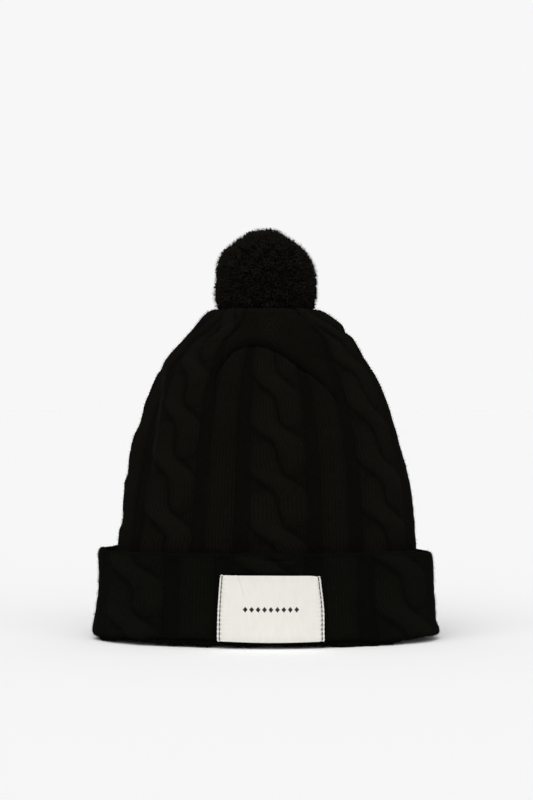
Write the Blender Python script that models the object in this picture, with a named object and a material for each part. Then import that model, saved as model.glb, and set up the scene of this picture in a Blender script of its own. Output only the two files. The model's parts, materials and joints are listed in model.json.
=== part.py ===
"""Cable-knit beanie with a turn-up cuff, a sewn front label and a pompom.

The hat stands on its rim: +Z runs from the opening to the pompom and the label faces -Y.
The origin is the middle of the rim, on the plane that the rim rests on. Units are metres.
"""

import math

import bmesh
import bpy
from mathutils import Vector

MM = 0.001

# Driving dimensions
CLEARANCE = 0.3 * MM          # air left between two pieces that touch
KNIT_THICKNESS = 4.0 * MM     # relaxed cable-knit fabric
CUFF_THICKNESS = 5.5 * MM     # the turn-up's cables stand a little thicker
CUFF_HEIGHT = 62.0 * MM
CUFF_HALF_WIDTH = 113.5 * MM
CUFF_HALF_DEPTH = 64.0 * MM
CUFF_FLARE = 4.3 * MM         # how far the turn-up spreads towards the rim
FOOT_THICKNESS = 4.5 * MM     # fabric folded under at the rim
FOOT_INNER_INSET = 12.0 * MM  # from the cuff's outside to the foot's inner edge
BODY_RIM_HALF_WIDTH = 107.6 * MM
BODY_RIM_HALF_DEPTH = 58.8 * MM
BODY_HALF_WIDTH = 102.5 * MM  # where the body leaves the cuff
BODY_HALF_DEPTH = 56.0 * MM
RIDGE_RADIUS = 39.0 * MM      # the crown's round ridge, around the pompom's nest
RIDGE_HEIGHT = 221.0 * MM
NEST_FLOOR = 205.0 * MM       # the gathered middle of the crown
EYELET_RADIUS = 3.2 * MM
POM_RADIUS = 33.4 * MM
POM_CENTRE = 243.6 * MM
TIE_PIVOT = NEST_FLOOR - KNIT_THICKNESS / 2
TIE_RADIUS = 1.5 * MM
KNOT_RADIUS = 4.0 * MM
KNOT_DROP = 7.2 * MM           # from the tie's pivot to the knot's middle
BINDING_RADIUS = 7.0 * MM
BINDING_HEIGHT = 9.0 * MM
YARN_RADIUS = 0.8 * MM        # knitting yarn used for seams and gathers
THREAD_RADIUS = 0.35 * MM     # sewing thread
LABEL_WIDTH = 70.0 * MM
LABEL_HEIGHT = 43.0 * MM
LABEL_BOTTOM = 5.0 * MM
LABEL_OFFSET_X = 3.5 * MM     # the label sits slightly right of the middle
LABEL_THICKNESS = 1.0 * MM
LABEL_STITCH_INSET = 2.2 * MM
CARE_WIDTH = 25.0 * MM
CARE_HEIGHT = 40.0 * MM
CARE_THICKNESS = 0.8 * MM
CARE_TOP = 62.0 * MM
CARE_CENTRE_X = 17.0 * MM

SIDES_AROUND = 60
LOWER_STEPS = 3
SHOULDER_STEPS = 10
NEST_STEPS = 7


def clear_scene():
    for old in list(bpy.data.objects):
        bpy.data.objects.remove(old, do_unlink=True)


def principled(name, colour, roughness):
    material = bpy.data.materials.new(name)
    material.use_nodes = True
    shader = material.node_tree.nodes["Principled BSDF"]
    shader.inputs["Base Color"].default_value = (*colour, 1.0)
    shader.inputs["Roughness"].default_value = roughness
    shader.inputs["Metallic"].default_value = 0.0
    material.diffuse_color = (*colour, 1.0)
    return material


def add_object(name, data, material):
    piece = bpy.data.objects.new(name, data)
    bpy.context.collection.objects.link(piece)
    data.materials.append(material)
    return piece


def finish_mesh(bm, name, material, sharp_degrees=50):
    bmesh.ops.recalc_face_normals(bm, faces=bm.faces)
    mesh = bpy.data.meshes.new(name)
    bm.to_mesh(mesh)
    bm.free()
    mesh.shade_smooth()
    mesh.set_sharp_from_angle(angle=math.radians(sharp_degrees))
    return add_object(name, mesh, material)


def bezier(start, start_pull, end_pull, end, steps):
    """Points of a cubic curve, without its first one."""
    points = []
    for step in range(1, steps + 1):
        t = step / steps
        weights = ((1 - t) ** 3, 3 * t * (1 - t) ** 2, 3 * t * t * (1 - t), t ** 3)
        corners = (start, start_pull, end_pull, end)
        points.append(tuple(
            sum(w * corner[axis] for w, corner in zip(weights, corners))
            for axis in range(3)
        ))
    return points


def body_outside():
    """The body's outer profile as (half width, half depth, height), rim to eyelet."""
    rim = (BODY_RIM_HALF_WIDTH, BODY_RIM_HALF_DEPTH, FOOT_THICKNESS + CLEARANCE)
    waist = (BODY_HALF_WIDTH, BODY_HALF_DEPTH, CUFF_HEIGHT)
    profile = [rim]
    for step in range(1, LOWER_STEPS + 1):
        t = step / LOWER_STEPS
        profile.append(tuple(low + (high - low) * t for low, high in zip(rim, waist)))
    ridge = (RIDGE_RADIUS, RIDGE_RADIUS * 0.93, RIDGE_HEIGHT)
    profile += bezier(
        waist,
        (97 * MM, 56 * MM, 120 * MM),
        (88 * MM, 57 * MM, 178 * MM),
        ridge,
        SHOULDER_STEPS,
    )
    profile += bezier(
        ridge,
        (34 * MM, 32 * MM, 227 * MM),
        (28 * MM, 27 * MM, NEST_FLOOR + 1 * MM),
        (10 * MM, 10 * MM, NEST_FLOOR),
        NEST_STEPS,
    )
    profile.append((EYELET_RADIUS, EYELET_RADIUS, NEST_FLOOR))
    return profile


def offset_inwards(profile, distance):
    """The profile moved towards the inside of the hat, square to its own direction."""
    moved = []
    last = len(profile) - 1
    for index, (width, depth, height) in enumerate(profile):
        before = profile[max(index - 1, 0)]
        after = profile[min(index + 1, last)]
        run = (after[0] + after[1] - before[0] - before[1]) / 2
        rise = after[2] - before[2]
        length = math.hypot(run, rise)
        out, up = rise / length, -run / length
        moved.append((width - out * distance, depth - out * distance, height - up * distance))
    return moved


def body_inside():
    """The body's inner profile, rim to eyelet, flat at both ends."""
    outside = body_outside()
    inside = offset_inwards(outside, KNIT_THICKNESS)
    inside[0] = (
        outside[0][0] - KNIT_THICKNESS,
        outside[0][1] - KNIT_THICKNESS,
        outside[0][2],
    )
    inside[-1] = (EYELET_RADIUS, EYELET_RADIUS, NEST_FLOOR - KNIT_THICKNESS)
    return inside


def oval_ring(width, depth, height, sides=SIDES_AROUND):
    ring = []
    for side in range(sides):
        turn = 2 * math.pi * side / sides
        ring.append(Vector((width * math.sin(turn), -depth * math.cos(turn), height)))
    return ring


def loft_loop(name, profile, material):
    """A closed profile carried around the oval: a shell with no loose edge."""
    bm = bmesh.new()
    rings = [[bm.verts.new(point) for point in oval_ring(*section)] for section in profile]
    for index, ring in enumerate(rings):
        following = rings[(index + 1) % len(rings)]
        for side in range(SIDES_AROUND):
            beside = (side + 1) % SIDES_AROUND
            bm.faces.new((ring[side], ring[beside], following[beside], following[side]))
    return finish_mesh(bm, name, material)


def turned(name, profile, sides, material):
    """A profile of (radius, height) turned about Z; it starts and ends on the axis."""
    bm = bmesh.new()
    first_pole = bm.verts.new((0, 0, profile[0][1]))
    last_pole = bm.verts.new((0, 0, profile[-1][1]))
    rings = []
    for radius, height in profile[1:-1]:
        rings.append([bm.verts.new(p) for p in oval_ring(radius, radius, height, sides)])
    for lower, upper in zip(rings, rings[1:]):
        for side in range(sides):
            beside = (side + 1) % sides
            bm.faces.new((lower[side], lower[beside], upper[beside], upper[side]))
    for side in range(sides):
        beside = (side + 1) % sides
        bm.faces.new((first_pole, rings[0][beside], rings[0][side]))
        bm.faces.new((last_pole, rings[-1][side], rings[-1][beside]))
    return finish_mesh(bm, name, material)


def yarn(name, points, radius, material, closed=False, resolution=1):
    """A round strand along the points, with flat ends unless it closes on itself."""
    curve = bpy.data.curves.new(name, "CURVE")
    curve.dimensions = "3D"
    curve.bevel_depth = radius
    curve.bevel_resolution = resolution
    curve.use_fill_caps = not closed
    spline = curve.splines.new("POLY")
    spline.points.add(len(points) - 1)
    for slot, point in zip(spline.points, points):
        slot.co = (*point, 1.0)
    spline.use_cyclic_u = closed
    return add_object(name, curve, material)


def cuff_size(height):
    """The turn-up's outer half width and half depth at a height."""
    flare = CUFF_FLARE * max(0.0, 1 - height / (50 * MM)) ** 2
    return CUFF_HALF_WIDTH + flare, CUFF_HALF_DEPTH + flare


def cuff_profile():
    """The turn-up's closed section: outer wall, rolled top, inner wall and the foot."""
    section = []
    corner = 4.0 * MM
    edge_heights = [corner + (CUFF_HEIGHT - 1.5 * corner) * step / 4 for step in range(5)]
    rim_width, rim_depth = cuff_size(0)
    section.append((rim_width - corner, rim_depth - corner, 0.0))
    section.append((rim_width - 1.2 * MM, rim_depth - 1.2 * MM, 1.2 * MM))
    for height in edge_heights:
        width, depth = cuff_size(height)
        section.append((width, depth, height))
    top_width, top_depth = cuff_size(CUFF_HEIGHT)
    for inset, drop in ((1.0, 0.6), (2.75, 0.0), (4.5, 0.6)):
        section.append((top_width - inset * MM, top_depth - inset * MM, CUFF_HEIGHT - drop * MM))
    for height in reversed(edge_heights):
        width, depth = cuff_size(height)
        inner_height = max(height, FOOT_THICKNESS)
        section.append((width - CUFF_THICKNESS, depth - CUFF_THICKNESS, inner_height))
    foot_width = rim_width - FOOT_INNER_INSET
    foot_depth = rim_depth - FOOT_INNER_INSET
    section.append((foot_width, foot_depth, FOOT_THICKNESS))
    section.append((foot_width, foot_depth, 0.0))
    return section


def on_cuff(x, height, stand_off):
    """A point on the front of the turn-up, lifted off the fabric by stand_off."""
    width, depth = cuff_size(height)
    turn = math.asin(x / width)
    y = -depth * math.cos(turn)
    normal = Vector((x / width ** 2, y / depth ** 2, 0)).normalized()
    return Vector((x, y, height)) + normal * stand_off


def make_knit_body(material):
    profile = body_outside() + list(reversed(body_inside()))
    loft_loop("knit_body", profile, material)


def make_turn_up_cuff(material):
    loft_loop("turn_up_cuff", cuff_profile(), material)


def make_link_seam(material):
    """The strand that links the cuff's foot to the body, inside the rim."""
    rim_width, rim_depth = cuff_size(0)
    inset = FOOT_INNER_INSET + CLEARANCE + YARN_RADIUS
    height = FOOT_THICKNESS / 2
    points = oval_ring(rim_width - inset, rim_depth - inset, height)
    yarn("link_seam_yarn", points, YARN_RADIUS, material, closed=True)


def make_back_seam(material):
    """The strand that closes the body at the middle of the back, on the inside."""
    last = LOWER_STEPS + SHOULDER_STEPS
    inside = offset_inwards(body_outside(), KNIT_THICKNESS + 2 * CLEARANCE + YARN_RADIUS)
    points = [Vector((0, depth, height)) for _, depth, height in inside[1:last]]
    yarn("back_seam_yarn", points, YARN_RADIUS, material)


def make_cuff_seam(material):
    """The strand that closes the turn-up at the back, between the turn-up and the body."""
    radius = 0.5 * MM
    steps = 8
    points = []
    for step in range(steps + 1):
        height = 10 * MM + (CUFF_HEIGHT - 16 * MM) * step / steps
        _, depth = cuff_size(height)
        points.append(Vector((0, depth - CUFF_THICKNESS - CLEARANCE - radius, height)))
    yarn("cuff_seam_yarn", points, radius, material)


def make_crown_gather(material):
    """The strand drawn through the last row of stitches, under the crown."""
    height = NEST_FLOOR - KNIT_THICKNESS - CLEARANCE - YARN_RADIUS
    points = oval_ring(2 * EYELET_RADIUS, 2 * EYELET_RADIUS, height, 24)
    yarn("crown_gather_yarn", points, YARN_RADIUS, material, closed=True)


def sphere_points(radius, centre, start_radius, steps):
    """A round outline from start_radius near the lowest point up to the pole."""
    start = math.asin(start_radius / radius)
    points = []
    for step in range(steps + 1):
        turn = start + (math.pi - start) * step / steps
        points.append((radius * math.sin(turn), centre - radius * math.cos(turn)))
    return points


def make_pom(pile_material, cord_material):
    """The cut-yarn ball with its binding inside and the tie that holds it to the crown."""
    channel = TIE_RADIUS + 0.7 * MM
    chamber_radius = BINDING_RADIUS + CLEARANCE
    chamber_half = BINDING_HEIGHT / 2 + CLEARANCE
    profile = [
        (0, POM_CENTRE + chamber_half),
        (chamber_radius, POM_CENTRE + chamber_half),
        (chamber_radius, POM_CENTRE - chamber_half),
        (channel, POM_CENTRE - chamber_half),
    ]
    profile += sphere_points(POM_RADIUS, POM_CENTRE, channel, 16)
    turned("pom_pile", profile, 32, pile_material)

    half = BINDING_HEIGHT / 2
    edge = 1.5 * MM
    binding = [
        (0, POM_CENTRE - half),
        (BINDING_RADIUS - edge, POM_CENTRE - half),
        (BINDING_RADIUS, POM_CENTRE - half + edge),
        (BINDING_RADIUS, POM_CENTRE + half - edge),
        (BINDING_RADIUS - edge, POM_CENTRE + half),
        (0, POM_CENTRE + half),
    ]
    turned("pom_binding", binding, 20, cord_material)

    knot_centre = TIE_PIVOT - KNOT_DROP
    tie_bottom = knot_centre + KNOT_RADIUS + 0.6 * MM
    tie_top = POM_CENTRE - half - CLEARANCE
    steps = 6
    points = []
    for step in range(steps + 1):
        points.append(Vector((0, 0, tie_bottom + (tie_top - tie_bottom) * step / steps)))
    yarn("pom_tie_yarn", points, TIE_RADIUS, cord_material, resolution=2)

    knot = [(0, knot_centre - KNOT_RADIUS)]
    steps = 9
    for step in range(1, steps):
        turn = math.pi * step / steps
        knot.append((KNOT_RADIUS * math.sin(turn), knot_centre - KNOT_RADIUS * math.cos(turn)))
    knot.append((0, knot_centre + KNOT_RADIUS))
    turned("tie_knot", knot, 16, cord_material)


def make_front_label(cloth_material, thread_material):
    """A woven patch on the front of the turn-up, sewn down along its two short sides."""
    across, up = 16, 6
    low_x = LABEL_OFFSET_X - LABEL_WIDTH / 2
    bm = bmesh.new()
    layers = []
    for stand_off in (CLEARANCE, CLEARANCE + LABEL_THICKNESS):
        rows = []
        for row in range(up + 1):
            height = LABEL_BOTTOM + LABEL_HEIGHT * row / up
            xs = [low_x + LABEL_WIDTH * column / across for column in range(across + 1)]
            rows.append([bm.verts.new(on_cuff(x, height, stand_off)) for x in xs])
        layers.append(rows)
        for row in range(up):
            for column in range(across):
                bm.faces.new((
                    rows[row][column], rows[row][column + 1],
                    rows[row + 1][column + 1], rows[row + 1][column],
                ))
    back, front = layers
    borders = [
        ([back[0][c] for c in range(across + 1)], [front[0][c] for c in range(across + 1)]),
        ([back[up][c] for c in range(across + 1)], [front[up][c] for c in range(across + 1)]),
        ([row[0] for row in back], [row[0] for row in front]),
        ([row[across] for row in back], [row[across] for row in front]),
    ]
    for inner, outer in borders:
        for index in range(len(inner) - 1):
            bm.faces.new((inner[index], inner[index + 1], outer[index + 1], outer[index]))
    finish_mesh(bm, "front_label", cloth_material)

    stand_off = LABEL_THICKNESS + 2 * CLEARANCE + THREAD_RADIUS
    for side_name, side in (("left", -1), ("right", 1)):
        x = LABEL_OFFSET_X + side * (LABEL_WIDTH / 2 - LABEL_STITCH_INSET)
        points = []
        steps = 10
        for step in range(steps + 1):
            height = LABEL_BOTTOM + 1 * MM + (LABEL_HEIGHT - 2 * MM) * step / steps
            points.append(on_cuff(x, height, stand_off))
        yarn("label_stitch_" + side_name, points, THREAD_RADIUS, thread_material)


def make_care_label(cloth_material, thread_material):
    """A folded tag inside the back. Its origin is on the sewn top edge it flaps about."""
    low = CARE_TOP - CARE_HEIGHT
    walls = [section for section in body_inside() if low <= section[2] <= CARE_TOP + 1 * MM]
    reach = CARE_CENTRE_X + CARE_WIDTH / 2
    back_wall = min(depth * math.sqrt(1 - (reach / width) ** 2) for width, depth, _ in walls)
    y = back_wall - 0.8 * MM - CARE_THICKNESS / 2
    bm = bmesh.new()
    bmesh.ops.create_cube(bm, size=1.0)
    bmesh.ops.scale(bm, vec=(CARE_WIDTH, CARE_THICKNESS, CARE_HEIGHT), verts=bm.verts)
    bmesh.ops.translate(bm, vec=(0, 0, -CARE_HEIGHT / 2), verts=bm.verts)
    care = finish_mesh(bm, "care_label", cloth_material)
    care.location = (CARE_CENTRE_X, y, CARE_TOP)

    height = CARE_TOP + CARE_THICKNESS / 2 + CLEARANCE + THREAD_RADIUS
    half = CARE_WIDTH / 2 - 1 * MM
    ends = [Vector((CARE_CENTRE_X + side * half, y, height)) for side in (-1, 0, 1)]
    yarn("care_label_stitch", ends, THREAD_RADIUS, thread_material)


def main():
    clear_scene()
    black_knit = principled("black_knit", (0.0040, 0.0037, 0.0028), 0.95)
    black_pile = principled("black_pile", (0.0035, 0.0032, 0.0024), 0.98)
    black_cord = principled("black_cord", (0.0060, 0.0055, 0.0045), 0.85)
    black_thread = principled("black_thread", (0.0080, 0.0080, 0.0080), 0.60)
    white_weave = principled("white_weave", (0.78, 0.77, 0.73), 0.85)
    white_satin = principled("white_satin", (0.80, 0.80, 0.78), 0.45)
    white_thread = principled("white_thread", (0.72, 0.71, 0.68), 0.60)
    make_knit_body(black_knit)
    make_turn_up_cuff(black_knit)
    make_link_seam(black_cord)
    make_back_seam(black_cord)
    make_cuff_seam(black_cord)
    make_crown_gather(black_cord)
    make_pom(black_pile, black_cord)
    make_front_label(white_weave, black_thread)
    make_care_label(white_satin, white_thread)


main()
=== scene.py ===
"""Looks of the cable-knit beanie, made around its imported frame.

+Z runs from the opening to the pompom and the label faces -Y. Everything is in metres.
"""

import json
import math

import bmesh
import bpy
import numpy as np
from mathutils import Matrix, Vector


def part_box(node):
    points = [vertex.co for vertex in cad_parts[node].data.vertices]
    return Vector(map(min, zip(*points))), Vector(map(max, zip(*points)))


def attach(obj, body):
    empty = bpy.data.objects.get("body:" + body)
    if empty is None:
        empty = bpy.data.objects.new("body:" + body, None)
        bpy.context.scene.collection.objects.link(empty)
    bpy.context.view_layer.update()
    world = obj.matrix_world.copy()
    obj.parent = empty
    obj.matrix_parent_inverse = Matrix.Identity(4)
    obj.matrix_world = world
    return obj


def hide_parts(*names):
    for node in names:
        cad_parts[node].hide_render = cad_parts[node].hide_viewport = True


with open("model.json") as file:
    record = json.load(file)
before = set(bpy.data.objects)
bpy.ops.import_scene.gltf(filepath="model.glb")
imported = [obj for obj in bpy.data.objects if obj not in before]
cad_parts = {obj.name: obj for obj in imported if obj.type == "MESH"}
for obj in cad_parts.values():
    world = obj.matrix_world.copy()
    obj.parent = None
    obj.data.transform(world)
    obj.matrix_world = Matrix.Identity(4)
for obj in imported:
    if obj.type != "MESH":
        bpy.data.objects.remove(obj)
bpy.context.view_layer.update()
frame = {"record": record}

MM = 0.001
FORWARD = np.array([0, -1.0, 0])

# The knit's gauge and pattern
BODY_REPEATS = 7            # cable, channel, rib, channel, around the body
CUFF_REPEATS = 6            # the turn-up is spread wider
CABLE_WALES = 16
CHANNEL_WALES = 4
RIB_WALES = 8
WALES = CABLE_WALES + RIB_WALES + 2 * CHANNEL_WALES
COLUMNS_PER_WALE = 4
BODY_COLUMNS = BODY_REPEATS * WALES * COLUMNS_PER_WALE
CUFF_COLUMNS = CUFF_REPEATS * WALES * (COLUMNS_PER_WALE + 1)
BODY_SHIFT = 0.0165         # turns from the middle of the front to the front cable
CUFF_SHIFT = 0.0042
FRONT_SPREAD = 0.0145       # turns that the front's pattern is stretched by, towards the sides
COURSE = 2.0 * MM           # height of one row of stitches
FINE_ROW = COURSE / 3
COARSE_ROW = 2.2 * MM
CUFF_GAUGE = 1.25           # the turn-up's wales for each of the pattern's
CUFF_RELIEF = 0.85          # the turn-up's relief as a fraction of the body's
STITCH_RELIEF = 0.42 * MM
RIB_RELIEF = 1.7 * MM
STRAND_RELIEF = 1.7 * MM    # roundness of a cable's strand
CROSSING_LIFT = 1.6 * MM    # how much the front strand rides over the other
CABLE_BED = 1.3 * MM        # the band that the strands lie in
STRAND_DWELL = 0.32         # slows the strands where they lie apart, so that they cross quickly
CABLE_PERIOD = 34.0 * MM    # from one crossing to the next
FABRIC = 2.0 * MM           # fabric behind the relief
BASE_INSET = 2.4 * MM       # from the CAD's outer face to the foot of the relief

# The body's outline, as in the CAD model
CUFF_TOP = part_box("turn_up_cuff")[1].z
RIM_HALF_WIDTH = 107.6 * MM
RIM_HALF_DEPTH = 58.8 * MM
BODY_FOOT = 4.8 * MM
WAIST_HALF_WIDTH = 102.5 * MM
WAIST_HALF_DEPTH = 56.0 * MM
RIDGE_RADIUS = 39.0 * MM
RIDGE_HEIGHT = 221.0 * MM
NEST_FLOOR = 205.0 * MM
EYELET_RADIUS = 3.2 * MM
FOOT_STEPS = 20             # points of the outline behind the cuff
SHOULDER_STEPS = 80         # from the cuff to the ridge
NEST_STEPS = 40             # from the ridge down to the eyelet
RIDGE_STEP = FOOT_STEPS + SHOULDER_STEPS - 1
HIDDEN_TOP = 50 * MM        # below this the cuff covers the body

# Where the crown folds over the front panel: heights, and half the panel's width at each
FOLD_LEVELS = np.array([148, 160, 170, 180, 190, 195, 199]) * MM
FOLD_HALF_WIDTHS = np.array([44, 41, 37, 31, 20, 13, 0]) * MM
UNDER_REACH = 9 * MM        # how far under the fold the fabric is pushed in
OVER_MIDDLE = 5 * MM        # where over the fold it stands out the most
OVER_WIDTH = 4.5 * MM

# The cuff's outline
CUFF_HALF_WIDTH = 113.5 * MM
CUFF_HALF_DEPTH = 64.0 * MM
CUFF_FLARE = 4.3 * MM
LAYER_STEP = 4.8 * MM       # the outer layer ends this far above the rim

# The pompom
POM_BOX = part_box("pom_pile")
POM_RADIUS = (POM_BOX[1].x - POM_BOX[0].x) / 2
POM_CENTRE = POM_BOX[1].z - POM_RADIUS
TUFTS = 9800
TUFT_CLUMPS = 300           # neighbouring tufts that lean together
TUFT_FOOT = 0.72            # where a tuft leaves the core, as a fraction of its reach
POM_FIBRES = 24000
POM_DENTS = (               # direction, depth in millimetres and width in the unit ball
    ((0.52, -0.02, 0.86), 4.2, 0.13), ((0.45, 0.5, 0.74), 1.6, 0.12),
    ((0.72, 0.0, 0.68), 2.2, 0.30), ((-0.56, -0.05, 0.82), 2.3, 0.30),
    ((-0.98, -0.1, 0.0), 2.2, 0.16), ((0.75, -0.5, 0.30), 0.9, 0.15),
    ((-0.5, -0.75, 0.35), 0.8, 0.16), ((0.1, 0.95, 0.2), 1.2, 0.2), ((0.6, 0.75, -0.1), 1.0, 0.18),
)

# Loose fibres
FUZZ_LENGTH = 2.1 * MM
BODY_FIBRES = 26000
CUFF_FIBRES = 14000
HEM_FIBRES = 6000

# The front label
LABEL_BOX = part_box("front_label")
LABEL_LEFT, LABEL_RIGHT = LABEL_BOX[0].x, LABEL_BOX[1].x
LABEL_LOW, LABEL_HIGH = LABEL_BOX[0].z, LABEL_BOX[1].z
LABEL_WIDTH = LABEL_RIGHT - LABEL_LEFT
LABEL_HEIGHT = LABEL_HIGH - LABEL_LOW
LABEL_LIFT = 1.35 * MM      # from the cuff's wall line to the label's face
LABEL_STITCH = 1.8 * MM     # from the label's edge to its stitching
STITCH_PITCH = 2.9 * MM

# The camera and the stage
VIEW_DISTANCE = 1.511
VIEW_HEIGHT = 0.162
VIEW_ASIDE = 0.7 * MM
FRAME_HEIGHT = 0.544        # seen across the long side at the hat's middle
FLOOR_HALF = 30.0
PAPER = (0.93, 0.93, 0.93, 1)


# ---------------------------------------------------------------- mesh helpers

def add_object(name, data):
    made = bpy.data.objects.new(name, data)
    bpy.context.collection.objects.link(made)
    return made


def build_mesh(name, points, face_groups, material):
    """One object from an array of points and arrays of faces with equal corner counts."""
    mesh = bpy.data.meshes.new(name)
    groups = [np.asarray(group, dtype=np.int32) for group in face_groups if len(group)]
    counts = np.concatenate([np.full(len(g), g.shape[1], dtype=np.int32) for g in groups])
    corners = np.concatenate([g.ravel() for g in groups])
    mesh.vertices.add(len(points))
    mesh.vertices.foreach_set("co", np.asarray(points, dtype=np.float32).ravel())
    mesh.loops.add(len(corners))
    mesh.loops.foreach_set("vertex_index", corners)
    mesh.polygons.add(len(counts))
    starts = np.concatenate([[0], np.cumsum(counts)[:-1]]).astype(np.int32)
    mesh.polygons.foreach_set("loop_start", starts)
    mesh.polygons.foreach_set("loop_total", counts)
    mesh.polygons.foreach_set("use_smooth", np.full(len(counts), True))
    mesh.update(calc_edges=True)
    mesh.materials.append(material)
    return add_object(name, mesh)


def grid_faces(rows, columns, wrap_rows, wrap_columns):
    """Quads of a grid of points numbered row by row."""
    number = np.arange(rows * columns).reshape(rows, columns)
    number = np.pad(number, ((0, int(wrap_rows)), (0, int(wrap_columns))), mode="wrap")
    quads = np.stack([number[:-1, :-1], number[:-1, 1:], number[1:, 1:], number[1:, :-1]], axis=-1)
    return quads.reshape(-1, 4)


def grid_edge(rows, columns):
    """The points round the edge of a grid, in order."""
    number = np.arange(rows * columns).reshape(rows, columns)
    return np.concatenate([number[0], number[1:, -1], number[-1, -2::-1], number[-2:0:-1, 0]])


def thin_sheet(name, outside, inside, material, flip=False):
    """A closed sheet from two grids of points; flip turns its faces over."""
    rows, columns = outside.shape[:2]
    offset = rows * columns
    quads = grid_faces(rows, columns, False, False)
    edge = grid_edge(rows, columns)
    following = np.roll(edge, -1)
    walls = np.stack([edge + offset, following + offset, following, edge], axis=1)
    faces = [quads, quads[:, ::-1] + offset, walls]
    if flip:
        faces = [group[:, ::-1] for group in faces]
    points = np.concatenate([outside.reshape(-1, 3), inside.reshape(-1, 3)])
    return build_mesh(name, points, faces, material)


def set_weave(piece, across, up, shade):
    """The woven pattern's place, the same on both faces of a thin sheet."""
    values = np.stack([across, up, np.broadcast_to(shade, across.shape)], axis=-1).reshape(-1, 3)
    set_attribute(piece, "weave", np.concatenate([values, values]))


def set_attribute(piece, name, vectors):
    layer = piece.data.attributes.new(name, "FLOAT_VECTOR", "POINT")
    layer.data.foreach_set("vector", np.asarray(vectors, dtype=np.float32).ravel())


def unit(vectors):
    return vectors / np.maximum(np.linalg.norm(vectors, axis=-1, keepdims=True), 1e-12)


def smooth_step(low, high, value):
    """0 at low, 1 at high and beyond; low may be the greater."""
    t = np.clip((value - low) / (high - low), 0, 1)
    return t * t * (3 - 2 * t)


def plateau(value, foot, rise, fall, end):
    """0 up to the foot, 1 from rise to fall, and 0 again from the end on."""
    return smooth_step(foot, rise, value) * (1 - smooth_step(fall, end, value))


def bell(value, middle, width):
    """1 at the middle, falling off to both sides over about the width."""
    return np.exp(-((value - middle) / width) ** 2)


def soft_noise(u, v, cells_u, cells_v, seed):
    """Smooth noise in -1..1 over a grid; u is 0..1 and wraps, v is 0..1."""
    lattice = np.random.default_rng(seed).uniform(-1, 1, (cells_v + 2, cells_u))
    x = (u % 1.0) * cells_u
    y = np.clip(v, 0, 1) * cells_v
    column = np.floor(x).astype(int) % cells_u
    row = np.floor(y).astype(int)
    fx = x - np.floor(x)
    fy = y - row
    fx = fx * fx * (3 - 2 * fx)
    fy = fy * fy * (3 - 2 * fy)
    beside = (column + 1) % cells_u
    low = lattice[row, column] * (1 - fx) + lattice[row, beside] * fx
    high = lattice[row + 1, column] * (1 - fx) + lattice[row + 1, beside] * fx
    return low * (1 - fy) + high * fy


def noise_sum(u, v, *layers):
    """Soft noises added up; a layer is its height, cells round, cells up and seed."""
    return sum(height * soft_noise(u, v, *cells_and_seed) for height, *cells_and_seed in layers)


def unit_grid(rows, columns):
    """Two fractions from 0 to 1: along the columns, then along the rows."""
    return np.meshgrid(np.linspace(0, 1, columns), np.linspace(0, 1, rows), indexing="xy")


def run_along(points):
    """Distance along a row of points, from 0."""
    steps = np.linalg.norm(np.diff(points, axis=0), axis=1)
    return np.concatenate([[0], np.cumsum(steps)])


def circles(first, second, sides):
    """A unit circle of points in the plane of each pair of vectors."""
    turn = 2 * np.pi * np.arange(sides)[:, None] / sides
    return first[:, None, :] * np.cos(turn) + second[:, None, :] * np.sin(turn)


def strands(name, centres, radii, sides, material):
    """Many short tubes: centres is (count, knots, 3), radii is spread to (count, knots)."""
    count, knots, _ = centres.shape
    radii = np.broadcast_to(radii, (count, knots))
    along = unit(centres[:, -1] - centres[:, 0])
    helper = np.where(np.abs(along[:, 2:3]) < 0.9, [[0, 0, 1.0]], [[1.0, 0, 0]])
    across = unit(np.cross(along, helper))
    ring = circles(across, np.cross(along, across), sides)
    points = centres[:, :, None, :] + ring[:, None] * radii[:, :, None, None]
    offsets = (np.arange(count) * knots * sides)[:, None, None]
    walls = (grid_faces(knots, sides, False, True)[None] + offsets).reshape(-1, 4)
    foot = (np.arange(sides)[::-1] + offsets[:, 0]).reshape(-1, sides)
    tip = (np.arange(sides) + (knots - 1) * sides + offsets[:, 0]).reshape(-1, sides)
    return build_mesh(name, points.reshape(-1, 3), [walls, foot, tip], material)


def tube_points(path, radius, sides, closed):
    """Rings of points round a path, with a frame that doesn't twist."""
    if closed:
        tangents = unit(np.roll(path, -1, axis=0) - np.roll(path, 1, axis=0))
    else:
        tangents = unit(np.gradient(path, axis=0))
    normal = np.cross(tangents[0], [0.31, 0.52, 0.79])
    normals = []
    for tangent in tangents:
        normal = normal - tangent * np.dot(normal, tangent)
        normal = normal / np.linalg.norm(normal)
        normals.append(normal)
    normals = np.array(normals)
    binormals = np.cross(tangents, normals)
    return path[:, None, :] + circles(normals, binormals, sides) * radius, normals, binormals


def plied_yarn(name, path, radius, material, closed=False, plies=3, pitch=3.2 * MM):
    """A yarn of twisted plies along a smooth path."""
    path = resample(path, 0.5 * MM, closed)
    run = run_along(path)
    total = run[-1] + (np.linalg.norm(path[0] - path[-1]) if closed else 0)
    turns = max(1, round(total / pitch))
    sides = 6
    _, normals, binormals = tube_points(path, radius, sides, closed)
    points = []
    groups = []
    offset = 0
    for ply in range(plies):
        angle = 2 * np.pi * (turns * run / total + ply / plies)
        lane = path + radius * 0.5 * (
            normals * np.cos(angle)[:, None] + binormals * np.sin(angle)[:, None]
        )
        rings, _, _ = tube_points(lane, radius * 0.56, sides, closed)
        points.append(rings.reshape(-1, 3))
        groups.append(grid_faces(len(lane), sides, closed, True) + offset)
        if not closed:
            last = offset + (len(lane) - 1) * sides
            groups.append(np.array([np.arange(sides)[::-1] + offset, np.arange(sides) + last]))
        offset += len(lane) * sides
    return build_mesh(name, np.concatenate(points), groups, material)


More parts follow.
